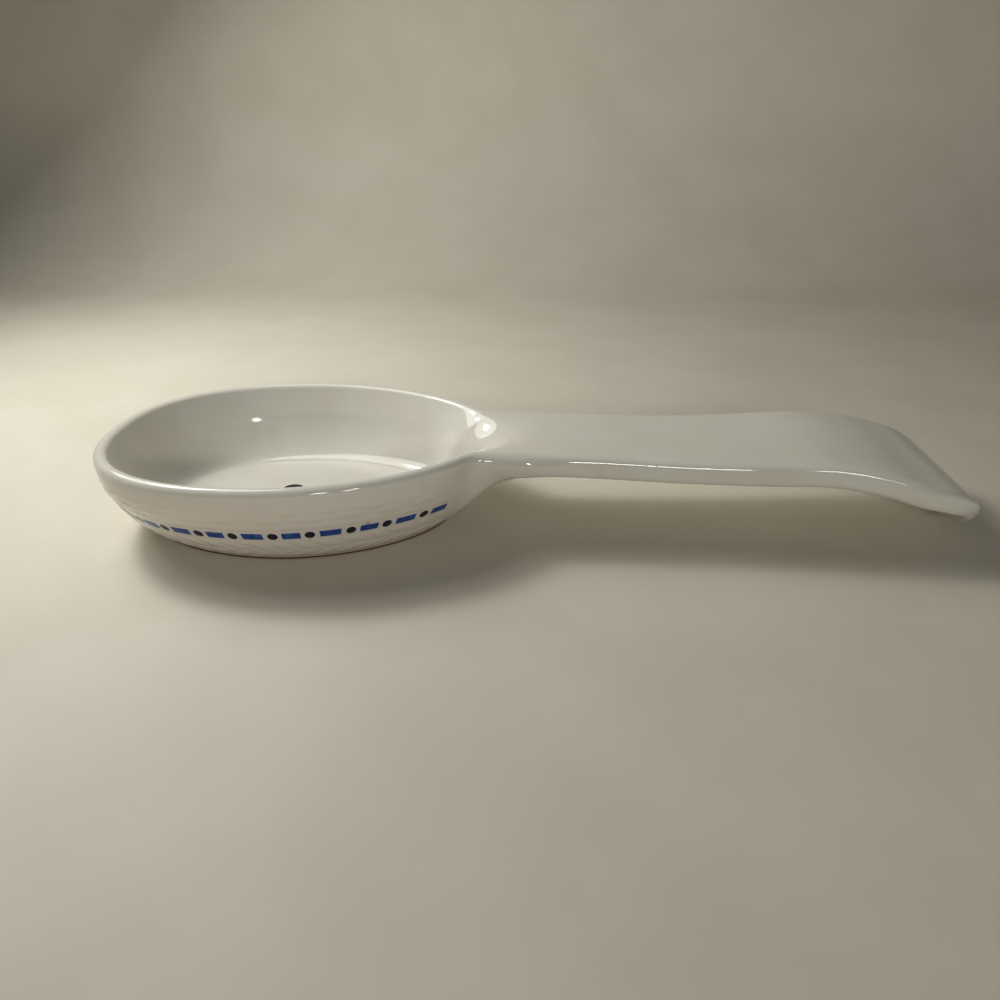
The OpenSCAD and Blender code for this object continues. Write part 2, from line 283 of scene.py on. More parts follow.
def band_line(a):
    return bezier(outer_controls(a), level_share(a, band_z))


band_path = band_line(math.pi - band_turns)
band_runs = np.concatenate([[0], np.cumsum(np.linalg.norm(np.diff(band_path, axis=0), axis=1))])


def run_of(a):
    turn = math.pi - a % (2 * math.pi)
    return band_shift + np.sign(turn) * np.interp(abs(turn), band_turns, band_runs)


def angle_of(run):
    run = np.asarray(run, float) - band_shift
    return math.pi - np.sign(run) * np.interp(abs(run), band_runs, band_turns)


print("the band is", round(2 * band_runs[-1]), "mm long")

# %% [markdown]
# ## The moulded weave
#
# Below the lip the wall carries a low basket weave, softened by the glaze. Bump in a material
# could fake it, but at the left of the picture the strands notch the outline, so they are real
# height here: three fine rows above the painted band, and two rows of slanting strands below
# it that lean opposite ways, as in a braid. The band itself stays smooth.

# %% Height of the weave
smooth_half, weave_end = 2.0, 24
fine_row, fine_rows, fine_pitch, fine_height = 2.5, 3, 9.7, 0.26
braid_row, braid_rows, braid_pitch, braid_height = 4.6, 2, 6.5, 0.28


def strand(u, sharpness=0.6):
    """A row of rounded strands, one to each unit, with a crease where they meet."""
    return abs(np.sin(math.pi * u)) ** sharpness


def ramp(x, start, end):
    u = np.clip((x - start) / (end - start), 0, 1)
    return u * u * (3 - 2 * u)


def wobble(points, size, seed):
    flat = points.reshape(-1, 3) / size
    values = [noise.noise(Vector(p) + Vector((seed, seed / 3, 0))) for p in flat]
    return np.array(values).reshape(points.shape[:-1])


def weave_height(run, rise, uneven):
    """Height in mm of the weave at a place on the wall."""
    up = (rise - smooth_half) / fine_row
    row = np.floor(np.clip(up, 0, fine_rows))
    over = 0.5 + 0.5 * np.cos(2 * math.pi * (run / fine_pitch + row / 2 + 0.1 * uneven))
    fine = strand(up + 0.12 * uneven) * (0.35 + 0.65 * over) * fine_height
    fine *= ramp(up, 0, 0.35) * (1 - ramp(up, fine_rows - 0.9, fine_rows + 0.1))
    down = (-rise - smooth_half) / braid_row
    row = np.floor(np.clip(down, 0, braid_rows - 0.01))
    lean = np.where(row % 2 == 0, 1, -1)
    slant = run / braid_pitch + lean * 0.8 * (down - row - 0.5) + 0.4 * uneven
    braid = strand(slant) * (0.25 + 0.75 * strand(down, 0.5)) * braid_height
    braid *= ramp(down, 0, 0.3) * (1 - ramp(down, braid_rows - 0.1, braid_rows + 0.5))
    return fine + braid


print("the weave stands out by", fine_height, "mm above the band and", braid_height, "mm below it")

# %% [markdown]
# ## One glazed body
#
# The bowl and the handle are two solids in the construction model and one casting on the real
# object, so here they are one mesh, without a seam where they meet. It is made of grids of
# points: the outside, the lip, the inside, the floor, the underside and the handle. Their
# edges share the same points, which are merged at the end.
#
# The alternative is a coarse cage under a Subdivision Surface modifier, but then the outline
# would shrink away from its measured size, and the weave needs the fine grid in any case.

# %% Grids of the bowl
rim_steps, mouth_steps = 640, 28
outer_steps, lip_steps, inner_steps = 84, 20, 44

rim_runs = np.linspace(0, 2 * corner_runs[-1], rim_steps + 1)
runs_back = corner_runs[-1] - abs(rim_runs - corner_runs[-1])
half_turns = np.interp(runs_back, corner_runs, corner_angles)
rim_angles = np.where(rim_runs > corner_runs[-1], 2 * math.pi - half_turns, half_turns)
mouth_y = np.linspace(-neck_half, neck_half, mouth_steps + 1)
mouth_angles = np.arctan2(mouth_y, neck_x)
ring_angles = np.concatenate([rim_angles, mouth_angles[1:-1]])


def section_grid(controls, steps):
    shares = np.broadcast_to(np.linspace(0, 1, steps + 1), (len(controls[0]), steps + 1))
    return bezier([c[:, None, :] for c in controls], shares)


def even_steps(lines, steps):
    """The same lines with their points spread evenly along them."""
    runs = np.cumsum(np.linalg.norm(np.diff(lines, axis=1, prepend=lines[:, :1]), axis=2), axis=1)
    spread = [np.linspace(0, r[-1], steps + 1) for r in runs]
    return np.stack([
        np.stack([np.interp(e, r, p) for p in line.T], -1)
        for e, r, line in zip(spread, runs, lines)
    ])


def grid_normals(grid):
    around = np.roll(grid, -1, 0) - np.roll(grid, 1, 0)
    along = np.gradient(grid, axis=1)
    return unit(np.cross(around, along))


outside = section_grid(outer_controls(ring_angles), outer_steps)
steps_up = np.linalg.norm(np.diff(outside, axis=1), axis=2)
height_up = np.concatenate([np.zeros((len(ring_angles), 1)), np.cumsum(steps_up, axis=1)], axis=1)
shares = np.linspace(0, 1, outer_steps + 1)
band_shares = level_share(ring_angles, band_z)
band_up = np.array([np.interp(s, shares, h) for s, h in zip(band_shares, height_up)])
rise = height_up - band_up[:, None]
run = np.broadcast_to(run_of(ring_angles)[:, None], rise.shape)
fade = column(1 - ramp(neckness(ring_angles, weave_end), 0, 0.35))[:, :1]
foot_fade = ramp(height_up, 0.4, 2.0)
uneven = wobble(outside, 7.0, 3.0)
weave = weave_height(run, rise, uneven) * fade * foot_fade
outside = outside + column(weave) * grid_normals(outside)

turns = mix(mix(0, -quarter, neckness(rim_angles, turn_blend)),
            mix(lip_turn, quarter, neckness(rim_angles, inner_blend)),
            np.linspace(0, 1, lip_steps + 1)[:, None]).T
lip = np.stack([lip_point(rim_angles, turns[:, i]) for i in range(lip_steps + 1)], 1)
start, *curve = inner_controls(ring_angles)
slope_down = section_grid(curve, 3 * inner_steps)
level_part = np.stack([mix(start, curve[0], s) for s in np.linspace(0, 1, inner_steps)[:-1]], 1)
inside = even_steps(np.concatenate([level_part, slope_down], 1), inner_steps)
print("outside, lip and inside grids:", outside.shape, lip.shape, inside.shape)

# %% [markdown]
# The floor is nearly flat, and it is closed by rings that shrink to a point. The underside
# starts with the glaze's thick lower edge, which overhangs the bare foot ring a little, as
# glaze does where it was wiped off before firing, and goes on to a shallow hollow.

# %% Floor and underside
floor_shares = np.linspace(1, 0, 15)[1:]
hollow_z = 1.8
under_profile = [
    (0.12, 0.74), (0.4, 0.6), (0.75, 0.68), (0.95, 1.0), (3.3, 1.0), (4.2, 1.5), (6, hollow_z),
]
under_shares = np.linspace(1, 0, 9)[1:]


def shrinking(edge, shares):
    centre = edge.mean(0) * [0, 0, 1]
    return np.stack([mix(centre, edge, s) for s in shares], 1)


floor = np.concatenate([inside[:, -1:], shrinking(inside[:, -1], floor_shares)], 1)
under = np.stack([
    at_height(ring_angles, foot_radius(ring_angles, i), z) for i, z in under_profile
], 1)
under = np.concatenate([outside[:, :1], under, shrinking(under[:, -1], under_shares)], 1)
print("the floor is", round(floor_z - hollow_z, 1), "mm thick in its middle")

# %% [markdown]
# ## The handle
#
# The handle is a flat bar, swept along one line: out of the neck, level and slightly dished,
# then over a shoulder and down to the table, while its edges widen into a paddle and close in
# a round end. The same few stations as in the construction model carry a smooth curve through
# them. Curve objects with a bevel can't change the width of a flat top and keep the edge's
# radius, so the sections are worked out here.
#
# Half a circle would make the edge look like a rod's. The mould leaves a tighter corner above
# than below, so each half is a superellipse of its own. Where the end dips to the table, the
# lower half is turned upright, so that the edge stands on the table and not on its corner.

# %% Line of the handle
handle_len, paddle_half, tip_z = 121.8, 20.25, 4.45
handle_reach = handle_len - edge_r
handle_shares = np.array([
    (0, 0, 1, 1), (0.16, 0, 1, 0.97), (0.34, 0.125, 1, 0.935), (0.515, 0.36, 1, 0.95),
    (0.655, 0.53, 1, 0.975), (0.76, 0.77, 1, 0.895), (0.845, 1, 1, 0.76),
    (0.905, 1, 0.95, 0.655), (0.95, 1, 0.8, 0.48), (0.983, 1, 0.5, 0.22), (1, 1, 0, 0),
])
handle_line = np.stack([
    neck_x + handle_reach * handle_shares[:, 0],
    mix(neck_half, paddle_half, handle_shares[:, 1]) * handle_shares[:, 2],
    mix(tip_z, neck_z, handle_shares[:, 3]),
], 1)
last_station = len(handle_line) - 1
before = [[2 * handle_line[0, 0] - handle_line[1, 0], *handle_line[1, 1:]]]
after = [handle_line[-2] * [1, -1, 1]]
padded = np.concatenate([before, handle_line, after])


def edge_at(t):
    """Smooth curve through the stations, which ends square to the axis."""
    i = np.minimum(np.floor(t).astype(int), last_station - 1)
    u = column(t - i)
    a, b, c, d = (padded[i + k] for k in range(4))
    slope, bow, twist = c - a, 2 * a - 5 * b + 4 * c - d, 3 * b - a - 3 * c + d
    return b + slope * u / 2 + bow * u**2 / 2 + twist * u**3 / 2


def handle_axes(t):
    """Direction along the handle, its upright, and the outward side of its edge."""
    d = edge_at(t) - edge_at(np.maximum(t - 0.01, 0))
    straight = column(t < 0.01)
    along = np.where(straight, [1.0, 0, 0], unit(d * [1, 0, 1]))
    upright = np.stack([-along[:, 2], 0 * t, along[:, 0]], 1)
    flat = np.linalg.norm(d[:, [0, 2]], axis=1)
    side = unit(column(flat) * [0, 1, 0] - d[:, 1:2] * along)
    return along, upright, np.where(straight, [0, 1.0, 0], side)


fine_t = np.linspace(0, last_station, 2001)
fine_steps = np.linalg.norm(np.diff(edge_at(fine_t), axis=0), axis=1)
fine_run = np.concatenate([[0], np.cumsum(fine_steps)])
handle_steps = 220
stations = np.interp(np.linspace(0, fine_run[-1], handle_steps + 1), fine_run, fine_t)
print("the handle's edge is", round(fine_run[-1]), "mm long")

# %% Grid of the handle
top_fullness, low_fullness, end_fullness = 3.6, 2.6, 3
square_stations, end_stations = (0, 0.6), (6, 8.4)
end_gap, least_z = 0.02, 0.3
_, upright, edge_out = handle_axes(stations)
edge_turns = np.linspace(-quarter, quarter, lip_steps + 1)
centre_line = edge_at(stations)
squareness, endness = ramp(stations, *square_stations), ramp(stations, *end_stations)
upright_low = unit(mix(upright, [0, 0, 1], column(endness)))
edge_level = unit(mix(edge_out, edge_out * [1, 1, 0], column(endness)))


def fuller(part, fullness):
    """Part of a direction, drawn out towards the corner of a squarer curve than a circle."""
    return np.sign(part) * abs(part) ** (2 / mix(2, column(fullness), column(squareness)))


far_edge = []
for turn in edge_turns:
    fullness = top_fullness if turn > 0 else mix(low_fullness, end_fullness, endness)
    outward, upward = (fuller(part, fullness) for part in (math.cos(turn), math.sin(turn)))
    sideways = unit(mix(edge_level, edge_out, max(math.sin(turn), 0)))
    up_way = upright if turn > 0 else upright_low
    far_edge.append(centre_line + edge_r * (outward * sideways + upward * up_way))
far_edge = np.stack(far_edge, 1)
far_edge[..., 0] = np.minimum(far_edge[..., 0], neck_x + handle_len - end_gap)
far_edge[..., 2] = np.maximum(far_edge[..., 2], least_z)
far_edge[-1, :, 1] = 0
near_edge = (far_edge * [1, -1, 1])[:, ::-1]
cross = np.linspace(0, 1, mouth_steps + 1)[1:-1]
top = np.stack([mix(far_edge[:, -1], near_edge[:, 0], s) for s in cross], 1)
bottom = np.stack([mix(near_edge[:, -1], far_edge[:, 0], s) for s in cross], 1)
handle_grid = np.concatenate([far_edge, top, near_edge, bottom], 1)
print("handle grid:", handle_grid.shape)
print("the handle ends at x", round(handle_grid[..., 0].max() - middle_x, 1), "mm")

# %% [markdown]
# Now the grids become one mesh. Each point also carries its place on the wall, its run, its
# rise and the height of the weave there, as an attribute that the glaze reads later on.

# %% Joining the grids
points, places, faces = [], [], []
off_wall, inner_side = 90.0, 120.0


def add_grid(grid, closed, place=None, level=off_wall):
    rows, columns = grid.shape[:2]
    index = sum(map(len, points)) + np.arange(rows * columns).reshape(rows, columns)
    points.append(grid.reshape(-1, 3))
    far_off = np.broadcast_to([0.0, level, 0.0], (rows * columns, 3))
    places.append(far_off if place is None else place.reshape(-1, 3))
    if closed:
        index = np.concatenate([index, index[:1]])
    corners = [index[:-1, :-1], index[:-1, 1:], index[1:, 1:], index[1:, :-1]]
    faces.append(np.stack(corners, -1).reshape(-1, 4))


def new_object(name, points, faces):
    """A mesh object from points in bowl millimetres; the bowl's widest line goes to its place."""
    mesh = bpy.data.meshes.new(name)
    metres = (np.concatenate(points) - [middle_x, 0, 0]) * MM
    mesh.from_pydata(metres.tolist(), [], np.concatenate(faces).tolist())
    mesh.polygons.foreach_set("use_smooth", [True] * len(mesh.polygons))
    obj = bpy.data.objects.new(name, mesh)
    bpy.context.scene.collection.objects.link(obj)
    return obj


def weld(obj, distance=0.004):
    """Merges points that meet and turns all faces outwards."""
    work = bmesh.new()
    work.from_mesh(obj.data)
    bmesh.ops.remove_doubles(work, verts=work.verts, dist=distance * MM)
    bmesh.ops.dissolve_degenerate(work, edges=work.edges, dist=distance * MM / 4)
    bmesh.ops.recalc_face_normals(work, faces=work.faces)
    open_edges = sum(not e.is_manifold for e in work.edges)
    work.to_mesh(obj.data)
    work.free()
    print(obj.name, "has", len(obj.data.polygons), "faces and", open_edges, "open edges")


add_grid(outside, True, np.stack([run, rise, weave], -1))
add_grid(lip, False)
add_grid(inside, True, level=inner_side)
add_grid(floor, True, level=inner_side)
add_grid(under, True)
add_grid(np.swapaxes(handle_grid, 0, 1), True)
body = new_object("glazed_body", points, faces)
attribute = body.data.attributes.new("wall_place", "FLOAT_VECTOR", "POINT")
attribute.data.foreach_set("vector", np.concatenate(places).astype(np.float32).ravel())
weld(body)

# %% [markdown]
# ## Softening the neck and the end
#
# Where the wall turns over into the handle, the sections change quickly from one angle to the
# next, which leaves a faint crease. On the real casting the sponge and the thick glaze have
# evened it out. A Smooth modifier does the same here, held back by vertex groups so that the
# lip, the foot and the band keep their shape. The lower edge of the curled end is evened in the
# same way. Before that, a shallow web is let down below the neck, where the clay is thicker.

# %% Soft neck
def soften(obj, name, shares, rounds):
    """Evens out the part of a mesh where the shares are above zero."""
    group = obj.vertex_groups.new(name=name)
    for i in np.flatnonzero(shares > 0):
        group.add([int(i)], shares[i], "REPLACE")
    smooth = obj.modifiers.new(name, "SMOOTH")
    smooth.factor, smooth.iterations, smooth.vertex_group = 0.5, rounds, name


def vectors(collection, name):
    flat = np.empty(3 * len(collection), np.float32)
    collection.foreach_get(name, flat)
    return flat.reshape(-1, 3).astype(float)


def apply_modifiers(obj):
    """Gives an object the mesh that its modifiers make, and takes them off."""
    graph = bpy.context.evaluated_depsgraph_get()
    obj.data = bpy.data.meshes.new_from_object(obj.evaluated_get(graph))
    obj.modifiers.clear()


neck_web, web_start, web_full, web_end = 1.1, 50, 62, 78
blend_start, blend_end, outside_inset = 10, 90, 99.0
levels = vectors(body.data.attributes["wall_place"].data, "vector")[:, 1]
upward = vectors(body.data.vertex_normals, "vector")[:, 2]
x, y, z = (vectors(body.data.vertices, "co") / MM + [middle_x, 0, 0]).T
faces_up = np.where(x > neck_x, upward > 0.2, levels > (off_wall + inner_side) / 2)
web = neck_web * ramp(x, web_start, web_full) * (1 - ramp(x, web_full, web_end))
z = z - web * np.where(faces_up, 0, ramp(neck_z - z, 0, edge_r))
before_blend = np.stack([x - middle_x, y, z], 1) * MM
body.data.vertices.foreach_set("co", before_blend.astype(np.float32).ravel())
rim_part = rim_point(np.linspace(neck_angle, 1.6, 150))[::-1]
edge_line = np.concatenate([rim_part, edge_at(np.linspace(0, 3, 120))])
inset = np.where(x < blend_end, outside_inset, 0)
for i in np.flatnonzero((x > blend_start) & (x < blend_end)):
    inset[i] = np.hypot(edge_line[:, 0] - x[i], edge_line[:, 1] - abs(y[i])).min()
along_top = ramp(x, 30, 46) * (1 - ramp(x, 68, 84))
on_top = along_top * ramp(inset, 1.5, 6) * ramp(z, 6, 12)
soften(body, "neck_top", np.where(faces_up, on_top, 0), 250)
along_under = ramp(x, 42, 52) * (1 - ramp(x, 64, 76))
low = (1 - ramp(z, 19, 22)) * ramp(z, 3, 8) * np.where(x > 60, ramp(inset, 2, 5), 1)
soften(body, "neck_under", np.where(faces_up, 0, along_under * low), 160)
low_end = ramp(x, 172, 181) * (1 - ramp(upward, 0.35, 0.7)) * (1 - ramp(z, 11, 15))
soften(body, "curled_end", low_end, 90)
apply_modifiers(body)
blend_shift = vectors(body.data.vertices, "co") - before_blend
print("the surface moved by up to", round(abs(blend_shift).max() / MM, 2), "mm")

# %% [markdown]
# ## The hanging hole
#
# A hole through a casting is punched while the clay is soft and sponged round, so both of its
# mouths are rounded over. A Boolean modifier cuts it with a turned shape whose outline flares
# at both ends, which gives the rounded mouths in the same cut.

# %% Hanging hole
hole_r, hole_in, mouth_r = 2.5, 9, 1.1
cutter_over, cutter_flare = 1.5, 0.6
hole_x = neck_x + handle_len - hole_in
hole_station = np.interp(hole_x, edge_at(fine_t)[:, 0], fine_t)
hole_centre = edge_at(np.array([hole_station]))[0] * [1, 0, 1]
hole_along, hole_up, _ = (v[0] for v in handle_axes(np.array([hole_station])))

arc = np.linspace(0, quarter * 0.97, 9)
half_profile = [(0, hole_r)] + [
    (edge_r - mouth_r + mouth_r * math.sin(v), hole_r + mouth_r * (1 - math.cos(v))) for v in arc
]
cutter_end = edge_r + cutter_over
half_profile += [(cutter_end, half_profile[-1][1] + cutter_flare), (cutter_end, 0)]
profile = [(-w, r) for w, r in half_profile[::-1]] + half_profile[1:]
spin = np.linspace(0, 2 * math.pi, 65)[:-1]
ring_way = column(np.cos(spin)) * hole_along + column(np.sin(spin)) * [0, 1, 0]
cutter_grid = np.stack([hole_centre + w * hole_up + r * ring_way for w, r in profile], 1)

points, places, faces = [], [], []
add_grid(cutter_grid, True)
cutter = new_object("hole_cutter", points, faces)
weld(cutter)
cut = body.modifiers.new("hanging_hole", "BOOLEAN")
cut.object, cut.operation, cut.solver = cutter, "DIFFERENCE", "EXACT"
apply_modifiers(body)
bpy.data.objects.remove(cutter)
print("hanging hole", 2 * hole_r, "mm wide at x", round(hole_x - middle_x, 1), "mm")
print("the body has", len(body.data.polygons), "faces now")

# %% [markdown]
# ## The bare foot ring
#
# A piece of glazed ware would stick to the kiln shelf, so the ring that it stands on is wiped
# bare and shows the clay. It is its own piece here because its finish is its own: dry and
# sandy, with a rounded edge that tucks in under the glaze.

# %% Foot ring
ring_profile = [
    (0.3, 0.95), (0.3, 0.3), (0.38, 0.1), (0.6, 0), (3.1, 0), (3.3, 0.1), (3.4, 0.35), (3.4, 0.97),
]
ring_turns = np.linspace(0, 2 * math.pi, 361)[:-1]
ring_grid = np.stack([
    at_height(ring_turns, foot_radius(ring_turns, i), z) for i, z in ring_profile
], 1)
points, places, faces = [], [], []
add_grid(np.concatenate([ring_grid, ring_grid[:, :1]], 1), True)
foot_ring = new_object("bare_foot_ring", points, faces)
weld(foot_ring)

# %% [markdown]
# ## The painted band
#
# Round the wall runs a plain border of blue dashes and dark dots, long and short in turn. It
# was painted through a stencil before glazing, so no two marks have quite the same corners.
# Decals on the glaze would be possible, but real patches a hair thick keep their crisp edge
# from any distance, and each kind of mark is a piece of the construction model already.
#
# Every patch is a small square grid that is bent onto the wall. One number, the roundness,
# takes it from a stencilled dash with soft corners to a full dot.

# %% Patches of paint
dash_h, dash_long, dash_short, dash_slant = 2.5, 5.3, 4.6, 0.05
dot_l, dot_h = 2.5, 2.6
long_pitch, short_pitch, side_dots = 10.2, 9.2, 12
paint_edge, paint_top, paint_under = -0.02, 0.06, -0.08
corner_drift, dash_lean, dot_drift = 0.13, 0.06, 0.04
random = np.random.default_rng(7)


def on_wall(run, rise, lift):
    a = angle_of(run)
    controls = outer_controls(a)
    t = level_share(a, band_z)
    slope = (bezier(controls, t + 0.01) - bezier(controls, t - 0.01)) / 0.02
    t = t + rise / np.linalg.norm(slope, axis=-1)
    beside = bezier(outer_controls(a + small_turn), t) - bezier(outer_controls(a - small_turn), t)
    return bezier(controls, t) + column(lift) * unit(np.cross(beside, slope))


def patch_grid(roundness, across, up):
    """Points of a rounded patch from -1 to 1, and a height that falls off at its edge."""
    x, y = np.meshgrid(*(np.sin(np.linspace(-quarter, quarter, n)) for n in (across, up)))
    edge = np.maximum(abs(x), abs(y)) > 1 - 1e-9
    height = np.where(edge, paint_edge, paint_top)
    return x * np.sqrt(1 - roundness * y**2 / 2), y * np.sqrt(1 - roundness * x**2 / 2), height


def add_patch(run, rise, height, place_on=on_wall):
    shape = run.shape
    for lift in (height, np.where(height < 0, height, paint_under)):
        grid = place_on(run.ravel(), rise.ravel(), lift.ravel()).reshape(*shape, 3)
        add_grid(grid if lift is height else grid[::-1], False)


def dot_place(i):
    return short_pitch / 2 + math.ceil(i / 2) * long_pitch + (i // 2) * short_pitch


def dash_place(i):
    return dot_place(i) + (short_pitch if i % 2 else long_pitch) / 2


# %% Dashes
points, places, faces = [], [], []
dashes = [(0, dash_short)]
for i in range(side_dots):
    length = dash_short if i % 2 else dash_long
    dashes += [(dash_place(i), length), (-dash_place(i), length)]
for place, length in dashes:
    x, y, height = patch_grid(0.09, 17, 9)
    corner = random.uniform(-corner_drift, corner_drift, (2, 2))
    drift = corner[0, 0] * y * (x > 0) + corner[0, 1] * y * (x < 0)
    half = length / 2 + dash_slant * (y + 1) / 2 + drift
    lean = dash_lean * (corner[1, 0] * x + corner[1, 1])
    add_patch(place + x * half, y * dash_h / 2 + lean, height)
band_dashes = new_object("painted_dashes", points, faces)
weld(band_dashes, 0.002)

# %% Dots
points, places, faces = [], [], []
for i in range(side_dots):
    for side in (1, -1):
        x, y, height = patch_grid(1, 15, 15)
        size = 1 + random.uniform(-dot_drift, dot_drift, 2)
        add_patch(side * dot_place(i) + x * dot_l / 2 * size[0], y * dot_h / 2 * size[1], height)
band_dots = new_object("painted_dots", points, faces)
weld(band_dots, 0.002)

# %% [markdown]
# One more dot of the same paint lies on the floor of the bowl. From the table only its far
# edge shows over the lip.

# %% Spot on the floor
spot_r, spot_x, spot_y = 3.2, -3.5, 2.6


def on_floor(x, y, lift):
    return np.stack([x, y, floor_z + lift], -1)


points, places, faces = [], [], []
x, y, height = patch_grid(1, 25, 25)
add_patch(spot_x + x * spot_r, spot_y + y * spot_r, height, on_floor)
floor_spot = new_object("painted_floor_spot", points, faces)
weld(floor_spot, 0.002)

# %% [markdown]
# ## The glaze
#
# The glaze is a clear glass over white clay. Its colour is nearly even: it lies a little
# thicker and greyer in hollows, is thinner and warmer on crests, and holds a few dark specks.
# The cobalt in the paint bleeds into the glaze round each mark as a pale violet rim. The
# outside of the wall also gets a warmer tint, which is painted light: it stands in for the
# warm light that the table bounces into the shade on that side.
#
# Each of these is a node group, so that the body and the painted marks share them. A group
# puts out a mask or a height only; the Principled shader stays in the material.

# %% Helpers for node groups
def swatch(*levels):
    """A colour as a paint swatch from 0 to 255, turned into the linear values of a shader."""
    shares = [level / 255 for level in levels]
    linear = [v / 12.92 if v <= 0.04045 else ((v + 0.055) / 1.055) ** 2.4 for v in shares]
    return (*linear, 1)


def new_group(name, inputs, outputs):
    tree = bpy.data.node_groups.new(name, "ShaderNodeTree")
    for label, kind, default in inputs:
        socket = tree.interface.new_socket(label, in_out="INPUT", socket_type=kind)
        socket.default_value = default
    for label, kind in outputs:
        tree.interface.new_socket(label, in_out="OUTPUT", socket_type=kind)
    return tree, tree.nodes.new("NodeGroupInput"), tree.nodes.new("NodeGroupOutput")


def add_node(tree, kind, settings=None, **inputs):
    """A node with its settings, and with its inputs linked or given a value by name or number."""
    node = tree.nodes.new(kind)
    for key, value in (settings or {}).items():
        setattr(node, key, value)
    for key, value in inputs.items():
        place = int(key[1:]) if key[1:].isdigit() else key.replace("_", " ")
        socket = node.inputs[place]
        if isinstance(value, bpy.types.NodeSocket):
            tree.links.new(value, socket)
        else:
            socket.default_value = value
    return node


def calculate(tree, operation, a, b=0.0):
    return add_node(tree, "ShaderNodeMath", {"operation": operation}, i0=a, i1=b).outputs[0]


def from_range(tree, value, start, end, low=0.0, high=1.0):
    """A value taken softly from one range to another."""
    ends = {"i1": start, "i2": end, "i3": low, "i4": high}
    settings = {"interpolation_type": "SMOOTHSTEP"}
    return add_node(tree, "ShaderNodeMapRange", settings, i0=value, **ends).outputs[0]


def object_place(tree):
    return add_node(tree, "ShaderNodeTexCoord").outputs["Object"]


def noise_value(tree, scale, detail, roughness):
    inputs = {"Scale": scale, "Detail": detail, "Roughness": roughness}
    return add_node(tree, "ShaderNodeTexNoise", Vector=object_place(tree), **inputs).outputs[0]


FLOAT = "NodeSocketFloat"

# %% Specks in the glaze
specks, given, out = new_group(
    "specks", [("Size", FLOAT, 0.3), ("Share", FLOAT, 0.03)], [("Mask", FLOAT)]
)
cells = add_node(specks, "ShaderNodeTexVoronoi", Vector=object_place(specks), Scale=170.0)
chance = add_node(specks, "ShaderNodeSeparateColor", Color=cells.outputs["Color"]).outputs[0]
chosen = calculate(specks, "LESS_THAN", chance, given.outputs["Share"])
reach = calculate(specks, "MULTIPLY", given.outputs["Size"], 0.17)
core = from_range(specks, cells.outputs["Distance"], reach, 0.0)
specks.links.new(calculate(specks, "MULTIPLY", core, chosen), out.inputs[0])

# %% Slow change in the glaze
cloud, given, out = new_group("glaze_cloud", [("Size", FLOAT, 12.0)], [("Mask", FLOAT)])
clouds = noise_value(cloud, calculate(cloud, "DIVIDE", 1 / MM, given.outputs["Size"]), 3.0, 0.55)
cloud.links.new(from_range(cloud, clouds, 0.3, 0.7), out.inputs[0])

# %% Ripple of the glaze's surface
ripple, given, out = new_group(
    "glaze_ripple", [("Size", FLOAT, 3.0), ("Depth", FLOAT, 0.02)], [("Height", FLOAT)]
)
waves = noise_value(ripple, calculate(ripple, "DIVIDE", 1 / MM, given.outputs["Size"]), 2.0, 0.4)
ripple.links.new(calculate(ripple, "MULTIPLY", waves, given.outputs["Depth"]), out.inputs[0])

# %% [markdown]
# The rim of violet follows the pattern by arithmetic. The pattern is a mirror image of itself
# about every short dash and every long dash, so folding the run back and forth between the
# two, with Ping-Pong, leaves one short dash, one dot and one long dash to measure from.

# %% Violet rim of the paint
halo, given, out = new_group(
    "paint_rim",
    [("Run", FLOAT, 0.0), ("Rise", FLOAT, 0.0), ("Width", FLOAT, 0.6)],
    [("Mask", FLOAT)],
)
half_repeat = (long_pitch + short_pitch) / 2
unsigned_run = calculate(halo, "ABSOLUTE", given.outputs["Run"])
folded = calculate(halo, "PINGPONG", unsigned_run, half_repeat)
up = calculate(halo, "ABSOLUTE", given.outputs["Rise"])
above = calculate(halo, "SUBTRACT", up, dash_h / 2)


def length_of(tree, x, y):
    """Length of a plane vector; a side below zero counts as none."""
    sides = [calculate(tree, "MAXIMUM", v, 0.0) for v in (x, y)]
    squares = [calculate(tree, "MULTIPLY", v, v) for v in sides]
    return calculate(tree, "SQRT", calculate(tree, "ADD", *squares))


short_gap = length_of(halo, calculate(halo, "SUBTRACT", folded, dash_short / 2), above)
long_gap = length_of(halo, calculate(halo, "SUBTRACT", half_repeat - dash_long / 2, folded), above)
dot_x = calculate(halo, "ABSOLUTE", calculate(halo, "SUBTRACT", folded, short_pitch / 2))
dot_gap = calculate(halo, "SUBTRACT", length_of(halo, dot_x, up), (dot_l + dot_h) / 4)
gap = calculate(halo, "MINIMUM", calculate(halo, "MINIMUM", short_gap, long_gap), dot_gap)
near = from_range(halo, gap, given.outputs["Width"], 0.0)
last_run = dash_place(side_dots - 1) + dash_short / 2 + 0.3
inside_band = calculate(halo, "LESS_THAN", unsigned_run, last_run)
halo.links.new(calculate(halo, "MULTIPLY", near, inside_band), out.inputs[0])

# %% White glaze
def use_group(tree, group, **inputs):
    return add_node(tree, "ShaderNodeGroup", {"node_tree": group}, **inputs).outputs[0]


def blend_colours(tree, share, a, b):
    return add_node(tree, "ShaderNodeMix", {"data_type": "RGBA"}, i0=share, i6=a, i7=b).outputs[2]


def new_material(name):
    material = bpy.data.materials.new(name)
    material.use_nodes = True
    tree = material.node_tree
    return material, tree, tree.nodes["Principled BSDF"]


def add_bump(tree, shader, height, strength=1.0, distance=MM):
    bump = add_node(tree, "ShaderNodeBump", Height=height, Strength=strength, Distance=distance)
    tree.links.new(bump.outputs[0], shader.inputs["Normal"])


